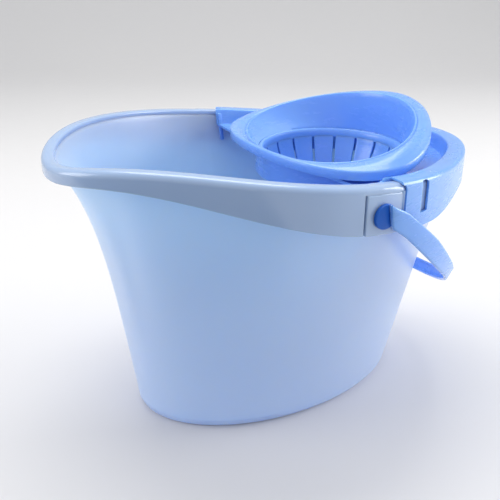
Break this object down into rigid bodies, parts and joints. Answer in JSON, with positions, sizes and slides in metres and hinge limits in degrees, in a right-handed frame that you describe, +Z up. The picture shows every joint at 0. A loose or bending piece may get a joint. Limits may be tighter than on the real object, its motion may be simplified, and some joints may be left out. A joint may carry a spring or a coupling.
{
  "type": "mop bucket with wringer",
  "caption": "Oval plastic bucket with a pouring spout, white rim collar, swinging bail handle and a lift-out cone wringer clipped over one end of the rim.",
  "frame": {"origin": "centre of the base on the floor", "axes": "+Z up; +X towards the wringer end, -X towards the pouring spout; the bail pivots lie along Y"},
  "size_m": [0.41, 0.3204, 0.2663],
  "materials": {
    "tub_blue": "satin moulded polypropylene, pale blue",
    "pearl_white": "smooth moulded plastic, pearl white",
    "wringer_blue": "glossy moulded plastic, mid blue",
    "hub_blue": "glossy moulded plastic, deep blue"
  },
  "bodies": {
    "bucket": {"bucket_shell": "tub_blue", "rim_collar": "pearl_white", "pivot_block_near": "pearl_white", "pivot_block_far": "pearl_white"},
    "wringer": {"wringer_saddle": "wringer_blue", "splash_ring": "wringer_blue", "press_basket": "wringer_blue"},
    "bail": {"bail_strap": "wringer_blue", "pivot_hub_near": "hub_blue", "pivot_hub_far": "hub_blue"}
  },
  "joints": [
    {"name": "bail_swing", "type": "hinge", "parent": "bucket", "child": "bail", "pos_m": [0.004, 0, 0.217], "axis": [0, -1, 0], "range_deg": [0, 240]},
    {"name": "wringer_lift", "type": "slide", "parent": "bucket", "child": "wringer", "axis": [0, 0, 1], "range_m": [0, 0.16]}
  ]
}
